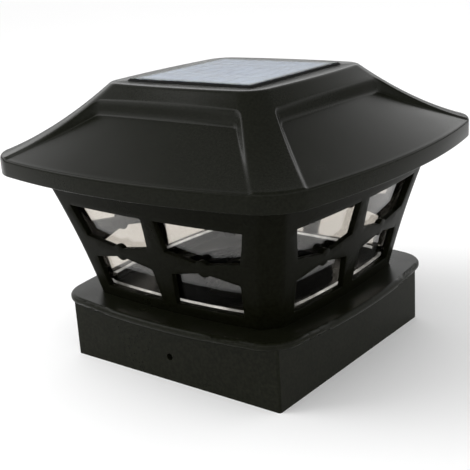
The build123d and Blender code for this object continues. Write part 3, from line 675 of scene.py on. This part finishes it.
def surface(name, values):
    """A material with one Principled shader whose sockets take the values.

    Returns the material, its tree, the shader and the object coordinates.
    """
    made = bpy.data.materials.new(name)
    made.use_nodes = True
    tree = made.node_tree
    shader = tree.nodes["Principled BSDF"]
    for socket, value in values.items():
        shader.inputs[socket].default_value = value
    place = node(tree, "ShaderNodeTexCoord")
    return made, tree, shader, place.outputs["Object"]


def uneven(made, rough, spread, size):
    """Lets a material's roughness drift by a spread over patches of a size in millimetres."""
    tree, shader, place = made
    spots = {"Vector": place, "Scale": 1 / (size * MM), "Detail": 2.0}
    drift = node(tree, "ShaderNodeTexNoise", None, spots)
    limits = {
        "Value": drift.outputs[0],
        "From Min": NOISE_RANGE[0],
        "From Max": NOISE_RANGE[1],
        "To Min": rough - spread,
        "To Max": rough + spread,
    }
    sheen = node(tree, "ShaderNodeMapRange", None, limits)
    tree.links.new(sheen.outputs[0], shader.inputs["Roughness"])


def grained(made, size, depth, stretch=(1.0, 1.0, 1.0)):
    """Gives a material a grain of a size and depth in millimetres, drawn out along the axes by a stretch.

    A mould's grain is about 0.1 mm and the marks on plate are finer, so both are drawn coarser, to show.
    """
    tree, shader, place = made
    scale = Vector(1 / (size * part * MM) for part in stretch)
    spread = node(tree, "ShaderNodeVectorMath", {"operation": "MULTIPLY"}, {0: place, 1: scale})
    specks = {"Vector": spread.outputs[0], "Scale": 1.0, "Detail": 1.0}
    speck = node(tree, "ShaderNodeTexNoise", None, specks)
    relief = {"Strength": 1.0, "Distance": depth * MM, "Height": speck.outputs[0]}
    bump = node(tree, "ShaderNodeBump", None, relief)
    tree.links.new(bump.outputs[0], shader.inputs["Normal"])


def mottled(made, first, second, size):
    """Lets a material's colour wander between two hex colours over patches of a size in millimetres."""
    tree, shader, place = made
    spots = {"Vector": place, "Scale": 1 / (size * MM), "Detail": 3.0}
    patches = node(tree, "ShaderNodeTexNoise", None, spots)
    tint = node(tree, "ShaderNodeValToRGB", None, {0: patches.outputs[0]})
    for stop, position, code in zip(tint.color_ramp.elements, NOISE_MIDDLE, (first, second)):
        stop.position = position
        stop.color = linear(code)
    tree.links.new(tint.outputs[0], shader.inputs["Base Color"])


def moulded(name, first, second, rough, shine, grain, depth):
    """A moulded plastic: flecked between two colours, finely grained, its sheen uneven over some 40 mm."""
    material, *made = surface(name, {"IOR": ABS_IOR, "Specular IOR Level": shine})
    mottled(made, first, second, 1.6 * grain)
    uneven(made, rough, 0.05, 40)
    grained(made, grain, depth)
    return material


def plated(name, first, second, rough, grain, stretch):
    """A plated metal: its colour wanders a little, and a stretch draws its fine marks out one way."""
    material, *made = surface(name, {"Metallic": 1.0})
    mottled(made, first, second, 2.5)
    uneven(made, rough, 0.06, 3)
    grained(made, grain, 0.004, stretch)
    return material


def clear(name, colour, rough, shine):
    """A clear plastic that lets the light of lamps through, its polish uneven over some 25 mm."""
    values = {
        "Base Color": linear(colour),
        "IOR": ACRYLIC_IOR,
        "Specular IOR Level": shine,
        "Transmission Weight": 1.0,
    }
    material, tree, shader, place = surface(name, values)
    uneven((tree, shader, place), rough, rough / 3, 25)
    path = node(tree, "ShaderNodeLightPath")
    passing = node(tree, "ShaderNodeBsdfTransparent", None, {"Color": linear(colour)})
    ways = {0: path.outputs["Is Shadow Ray"], 1: shader.outputs[0], 2: passing.outputs[0]}
    both = node(tree, "ShaderNodeMixShader", None, ways)
    tree.links.new(both.outputs[0], tree.nodes["Material Output"].inputs["Surface"])
    return material


# Satin black ABS: dark grey where it catches the sky, near black below, with thin light lines on its edges
satin_black = moulded("satin_black_abs", "#0e0f09", "#151610", 0.23, 0.055, 0.75, 0.024)
# Smooth black ABS of the lantern, with only a faint sheen; its colour, the darkest of the blacks, is partly
# painted shade for the shade under the eave
smooth_black_painted_shade = moulded("smooth_black_abs", "#080803", "#0e0f08", 0.3, 0.025, 1.1, 0.006)
# Polished black ABS of the base: its deck carries a blurred image of the cage and the sky
gloss_black = moulded("polished_black_abs", "#0d0e07", "#171810", 0.3, 0.065, 1.1, 0.004)
# Plain black ABS of the hidden pieces: duller and greyer than the outside
inner_black = moulded("plain_black_abs", "#0e0e0e", "#171717", 0.5, 0.3, 0.6, 0.02)
# White ABS: the bright ceiling seen when the roof is lifted, soft as egg shell
white_abs = moulded("white_abs", "#e8e7e1", "#f0efeb", 0.45, 0.4, 0.7, 0.015)
# Clear acrylic of the lantern's liner: shows the far windows through it, a little dimmed
lens_acrylic = clear("clear_acrylic", "#dfdbd5", 0.03, 0.2)
# Clear acrylic over the cells: a gloss that carries the sky, with a faint blue cast
cover_acrylic = clear("panel_acrylic", "#eef4fa", 0.05, 0.5)
# Zinc-plated steel screws: bluish grey with cloudy patches, as plated steel has
zinc = plated("zinc_plate", "#aeb3b8", "#c4c5c2", 0.32, 0.3, (1.0, 1.0, 1.0))
# Nickel-plated spring steel: warmer and brighter, with rolling marks drawn out along the strip
nickel = plated("nickel_plate", "#c2bcae", "#d0ccc2", 0.25, 0.15, (14.0, 1.0, 1.0))
# Tinned copper ribbon: soft white metal with marks along its length
tinned = plated("tinned_ribbon", "#bcc0c3", "#cdcfcf", 0.35, 0.12, (1.0, 12.0, 1.0))

# Black rubber: the dull line round the panel, with a dusty grain
rubber, *made = surface("black_rubber", {"Base Color": linear("#0e0e0e"), "Specular IOR Level": 0.1})
uneven(made, 0.8, 0.08, 6)
grained(made, 0.35, 0.02)

# Smoked metallised plastic: the dish on the deck, dark but for what it mirrors, blurred in patches
smoke = linear("#3a3b39")
smoked = {"Base Color": smoke, "Specular Tint": smoke, "Metallic": 1.0}
mirror, *made = surface("smoked_metallised_plastic", smoked)
uneven(made, 0.3, 0.05, 18)

# Frosted acrylic at the liner's foot, with a painted glow: emission in patches, and paler colour in the
# same patches, paint a broken bright line there, though the foot is no lamp
frosted_painted_glow, *made = surface("frosted_acrylic_painted_glow", {"Emission Color": linear("#f3f5f7")})
FROST_PATCH = 14
mottled(made, "#8d9195", "#eef0f1", FROST_PATCH)
uneven(made, 0.4, 0.08, 5)
grained(made, 0.25, 0.01)
tree, shader, place = made
# Painted glow: emission strength rises and falls over the same patches as the pale colour above
patches = {"Vector": place, "Scale": 1 / (FROST_PATCH * MM), "Detail": 3.0}
painted_glow_patches = node(tree, "ShaderNodeTexNoise", None, patches)
painted_glow_limits = {
    "Value": painted_glow_patches.outputs[0],
    "From Min": NOISE_MIDDLE[0],
    "From Max": NOISE_MIDDLE[1],
    "To Min": 0.05,
    "To Max": 0.75,
}
painted_glow = node(tree, "ShaderNodeMapRange", None, painted_glow_limits)
tree.links.new(painted_glow.outputs[0], shader.inputs["Emission Strength"])

# Glass-fibre laminate of the boards: green lacquer over a weave of about a millimetre
laminate, *made = surface("green_laminate", {})
mottled(made, "#1b4427", "#245433", 9)
uneven(made, 0.42, 0.06, 4)
grained(made, 0.9, 0.01)

# Shrunk sleeve of the battery, plain green, stretched tight so its gloss runs in bands round the cell
sleeve, *made = surface("battery_sleeve", {})
mottled(made, "#2b7648", "#348655", 14)
uneven(made, 0.33, 0.07, 8)
grained(made, 0.8, 0.012, (5.0, 1.0, 1.0))

# Pale yellow resin of the lamps: milky, with the phosphor's colour in cloudy patches
resin, *made = surface("lamp_resin", {"Transmission Weight": 0.3})
mottled(made, "#e2d078", "#eee2a0", 0.8)
uneven(made, 0.15, 0.05, 1)

# Epoxy of the chip and the choke: matt near-black with the fine pits of a moulded package
epoxy, *made = surface("chip_epoxy", {})
mottled(made, "#161618", "#202023", 2)
uneven(made, 0.55, 0.07, 2)
grained(made, 0.12, 0.01)

# Insulation of the leads: soft red vinyl, a little waxy
insulation, *made = surface("red_insulation", {})
mottled(made, "#861f1c", "#982a26", 5)
uneven(made, 0.48, 0.07, 4)

# Silicon of the cells: grey-blue crystal flakes, some paler than others, of about 5 mm; both blues are
# drawn paler than bare silicon, a painted sheen for the sky's glare on the cover
silicon_with_painted_sheen, tree, shader, place = surface("silicon_cell", {})
FLAKE = 5
uneven((tree, shader, place), 0.3, 0.06, FLAKE)
flake = node(tree, "ShaderNodeTexVoronoi", None, {"Vector": place, "Scale": 1 / (FLAKE * MM)})
tint = node(tree, "ShaderNodeValToRGB", None, {0: flake.outputs["Color"]})
# Painted sheen: these flake colours are lighter than the cells' own blue
tint.color_ramp.elements[0].color = linear("#64738a")
tint.color_ramp.elements[1].color = linear("#a2afc4")
tree.links.new(tint.outputs[0], shader.inputs["Base Color"])


# What repeats: one item, set out in columns along X and rows along Y by Geometry Nodes
rows_group = bpy.data.node_groups.new("set_out_in_rows", "GeometryNodeTree")
for name, kind in (
    ("Item", "NodeSocketGeometry"),
    ("Columns", "NodeSocketInt"),
    ("Rows", "NodeSocketInt"),
    ("Column Pitch", "NodeSocketFloat"),
    ("Row Pitch", "NodeSocketFloat"),
    ("First Place", "NodeSocketVector"),
    ("Material", "NodeSocketMaterial"),
):
    rows_group.interface.new_socket(name, in_out="INPUT", socket_type=kind)
rows_group.interface.new_socket("Items", in_out="OUTPUT", socket_type="NodeSocketGeometry")
given = node(rows_group, "NodeGroupInput").outputs
column_step = node(rows_group, "ShaderNodeCombineXYZ", None, {"X": given["Column Pitch"]})
row_step = node(rows_group, "ShaderNodeCombineXYZ", None, {"Y": given["Row Pitch"]})
column_places = {
    "Count": given["Columns"],
    "Start Location": given["First Place"],
    "Offset": column_step.outputs[0],
}
column_line = node(rows_group, "GeometryNodeMeshLine", None, column_places)
row_places = {"Count": given["Rows"], "Offset": row_step.outputs[0]}
row_line = node(rows_group, "GeometryNodeMeshLine", None, row_places)
item_down_rows = {"Points": row_line.outputs[0], "Instance": given["Item"]}
one_column = node(rows_group, "GeometryNodeInstanceOnPoints", None, item_down_rows)
column_across = {"Points": column_line.outputs[0], "Instance": one_column.outputs[0]}
all_columns = node(rows_group, "GeometryNodeInstanceOnPoints", None, column_across)
real = node(rows_group, "GeometryNodeRealizeInstances", None, {0: all_columns.outputs[0]})
coat = {"Geometry": real.outputs[0], "Material": given["Material"]}
painted = node(rows_group, "GeometryNodeSetMaterial", None, coat)
node(rows_group, "NodeGroupOutput", None, {0: painted.outputs[0]})


def set_out(made, columns, rows, column_pitch, row_pitch, first, material):
    """Sets an item out in columns and rows, in millimetres, and keeps the result as its own mesh."""
    made.data.materials.append(material)
    spread = made.modifiers.new("rows", "NODES")
    spread.node_group = rows_group
    values = {
        "Columns": columns,
        "Rows": rows,
        "Column Pitch": column_pitch * MM,
        "Row Pitch": row_pitch * MM,
        "First Place": Vector(first) * MM,
        "Material": material,
    }
    for socket in rows_group.interface.items_tree:
        if socket.in_out == "INPUT" and socket.name in values:
            spread[socket.identifier] = values[socket.name]
    graph = bpy.context.evaluated_depsgraph_get()
    mesh = bpy.data.meshes.new_from_object(made.evaluated_get(graph))
    made.modifiers.remove(spread)
    made.data = mesh


def bar(name, length, width, height, edge=0.0):
    """A box on its lower face's centre, whose lower edges are drawn in by an edge."""
    store = {"points": [], "faces": []}
    rows = []
    for inset, level in ((edge, 0.0), (0.0, edge), (0.0, height)):
        x, y = length / 2 - inset, width / 2 - inset
        rows.append([(-x, -y, level), (x, -y, level), (x, y, level), (-x, y, level)])
    rows = np.array(rows)
    grid(store, rows, loop=True)
    cap(store, rows[0])
    cap(store, rows[-1])
    return mesh_piece(name, store, 30)


def tube(name, radius, bore, height):
    """An upright tube on its lower face's centre."""
    store = {"points": [], "faces": []}
    angles = np.arange(32) * pi / 16
    across, along = np.cos(angles), np.sin(angles)
    rows = []
    for size, level in ((radius, 0.0), (radius, height), (bore, height), (bore, 0.0), (radius, 0.0)):
        rows.append(np.stack([size * across, size * along, np.full(32, level)], axis=-1))
    grid(store, np.stack(rows), loop=True)
    return mesh_piece(name, store, 30)


# Screw bosses: how far out they stand, their pitch, and the outside radius, bore radius and height of one
CAGE_SCREW_AT = 58.57
CAGE_SCREW_PITCH = 117.15
CAGE_BOSS = (4.0, 1.45, 9.0)
ROOF_SCREW_AT = 66.0
ROOF_SCREW_PITCH = 132.0
ROOF_BOSS = (4.2, 1.45, 21.0)
# Fine conductors across the cells: length, width, height of one, how many, their pitches and the first
FINGER = (9.0, 0.14, 0.03)
FINGER_COLUMNS, FINGER_ROWS = 8, 37
CELL_PITCH, FINGER_PITCH = 10.1, 2.1
FIRST_FINGER = (-35.35, -37.8, CELL_TOP_Z)
# Ribs under the battery door: length, width, height and edge of one, how many, their pitch and the first
RIB = (16.0, 0.9, 0.5, 0.25)
RIB_COUNT, RIB_PITCH = 5, 1.9
FIRST_RIB = (0.0, 3.2, 116.3)

# Pieces that stand for the frame's nodes or are added to them

roof = mesh_piece("roof", roof_mesh())
roof.data.materials.append(satin_black)
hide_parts("roof_shell")
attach(roof, "roof")

cage = mesh_piece("cage", cage_mesh(), 50)
cage.data.materials.append(smooth_black_painted_shade)
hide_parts("cage_frame")
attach(cage, "base")

cage_bosses = tube("cage_bosses", *CAGE_BOSS)
first_boss = (-CAGE_SCREW_AT, -CAGE_SCREW_AT, DECK_Z)
set_out(cage_bosses, 2, 2, CAGE_SCREW_PITCH, CAGE_SCREW_PITCH, first_boss, smooth_black_painted_shade)
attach(cage_bosses, "base")

roof_bosses = tube("roof_bosses", *ROOF_BOSS)
first_boss = (-ROOF_SCREW_AT, -ROOF_SCREW_AT, SOFFIT_TOP_Z)
set_out(roof_bosses, 2, 2, ROOF_SCREW_PITCH, ROOF_SCREW_PITCH, first_boss, satin_black)
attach(roof_bosses, "roof")

fingers = bar("cell_fingers", *FINGER)
set_out(fingers, FINGER_COLUMNS, FINGER_ROWS, CELL_PITCH, FINGER_PITCH, FIRST_FINGER, tinned)
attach(fingers, "roof")

door_ribs = bar("door_ribs", *RIB)
set_out(door_ribs, 1, RIB_COUNT, 0.0, RIB_PITCH, FIRST_RIB, white_abs)
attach(door_ribs, "battery_door")

bead = mesh_piece("panel_bead", sealant_mesh())
bead.data.materials.append(rubber)
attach(bead, "roof")

# The ledge that carries the painted glow at the foot of the lower windows
foot = mesh_piece("lens_foot_painted_glow", ledge_mesh(), 30)
foot.data.materials.append(frosted_painted_glow)
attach(foot, "base")

# Materials of the frame's own nodes
for material, names in (
    (gloss_black, "base_cap"),
    (satin_black, "soffit_plate"),
    (inner_black, "battery_holder electronics_housing switch_body switch_slider"),
    (white_abs, "ceiling_plate battery_door"),
    (lens_acrylic, "lens"),
    (cover_acrylic, "panel_cover"),
    (zinc, "cage_screws housing_screws soffit_screws door_hinge_pin"),
    (nickel, "battery_contact battery_spring"),
    (rubber, "panel_gasket wire_seal"),
    (mirror, "reflector_dish"),
    (laminate, "panel_board circuit_board"),
    (silicon_with_painted_sheen, "solar_cells"),
    (tinned, "cell_ribbons"),
    (sleeve, "battery"),
    (resin, "lamps"),
    (epoxy, "controller_chip choke"),
    (insulation, "panel_leads"),
):
    for name in names.split():
        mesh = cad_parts[name].data
        mesh.materials.clear()
        mesh.materials.append(material)

# Floor of white paper: matt, without gloss, and so wide, in metres, that low views don't show its edge
FLOOR_HALF = 40.0
floor_mesh = bpy.data.meshes.new("floor")
floor_corners = [(x * FLOOR_HALF, y * FLOOR_HALF, 0) for x, y in ((-1, -1), (1, -1), (1, 1), (-1, 1))]
floor_mesh.from_pydata(floor_corners, [], [(0, 1, 2, 3)])
floor = bpy.data.objects.new("floor", floor_mesh)
bpy.context.scene.collection.objects.link(floor)
matt_white = {"Base Color": linear("#fdfdfd"), "Roughness": 1.0, "Specular IOR Level": 0.0}
floor.data.materials.append(surface("white_paper", matt_white)[0])

# Sky (height, brightness): dark at the horizon, brightest about a third of the way up, duller overhead
SKY = (
    (0.0, 0.2),
    (0.15, 0.75),
    (0.24, 2.7),
    (0.32, 3.1),
    (0.4, 1.7),
    (0.5, 1.4),
    (0.58, 0.95),
    (0.66, 0.66),
    (1.0, 0.7),
)
SKY_TOP = 4.0
# The sky at the back is a little duller than the sky in front
SKY_BEHIND = 0.8
world = bpy.data.worlds.new("sky")
world.use_nodes = True
bpy.context.scene.world = world
tree = world.node_tree
ray = node(tree, "ShaderNodeTexCoord")
axes = node(tree, "ShaderNodeSeparateXYZ", None, {0: ray.outputs["Generated"]})
haze = node(tree, "ShaderNodeValToRGB", None, {0: axes.outputs["Z"]})
for height, _ in SKY[1:-1]:
    haze.color_ramp.elements.new(height)
for stop, (height, bright) in zip(haze.color_ramp.elements, SKY):
    stop.position = height
    stop.color = (bright / SKY_TOP, bright / SKY_TOP, bright / SKY_TOP, 1.0)
tree.links.new(haze.outputs[0], tree.nodes["Background"].inputs["Color"])
behind = {
    "Value": axes.outputs["Y"],
    "From Min": 0.1,
    "From Max": 0.8,
    "To Min": SKY_TOP,
    "To Max": SKY_TOP * SKY_BEHIND,
}
level = node(tree, "ShaderNodeMapRange", None, behind)
tree.links.new(level.outputs[0], tree.nodes["Background"].inputs["Strength"])

# A soft lamp high on the left draws the light lines along the roof's edges; metres and watts
KEY_PLACE = (-0.93, -0.63, 1.08)
KEY_AIM = Vector((0.0, 0.0, 0.13))
KEY_SIZE = 0.9
KEY_POWER = 10.0
key_data = bpy.data.lights.new("soft_key", "AREA")
key_data.size = KEY_SIZE
key_data.energy = KEY_POWER
key = bpy.data.objects.new("soft_key", key_data)
key.location = KEY_PLACE
key.rotation_euler = (KEY_AIM - key.location).to_track_quat("-Z", "Y").to_euler()
bpy.context.scene.collection.objects.link(key)

# Camera where the photograph was taken from
AZIMUTH, ELEVATION, ROLL = radians(38.66), radians(17.58), radians(-3.60)
DISTANCE = 585.24
AIM_HEIGHT = 70.0
AIM_RIGHT, AIM_UP = -5.93, -3.84
FOCAL_LENGTH, SENSOR_WIDTH = 73.32, 36.0
back = Vector((sin(AZIMUTH) * cos(ELEVATION), -cos(AZIMUTH) * cos(ELEVATION), sin(ELEVATION)))
right = Vector((cos(AZIMUTH), sin(AZIMUTH), 0))
up = back.cross(right)
right, up = cos(ROLL) * right + sin(ROLL) * up, -sin(ROLL) * right + cos(ROLL) * up
target = Vector((0, 0, AIM_HEIGHT)) + AIM_RIGHT * right + AIM_UP * up
camera_data = bpy.data.cameras.new("camera")
camera_data.sensor_width = SENSOR_WIDTH
camera_data.lens = FOCAL_LENGTH
camera_data.clip_start = 0.01
camera = bpy.data.objects.new("camera", camera_data)
turn = Matrix((right, up, back)).transposed().to_4x4()
turn.translation = (target + back * DISTANCE) * MM
camera.matrix_world = turn
bpy.context.scene.collection.objects.link(camera)
bpy.context.scene.camera = camera
bpy.context.scene.view_settings.view_transform = "Standard"
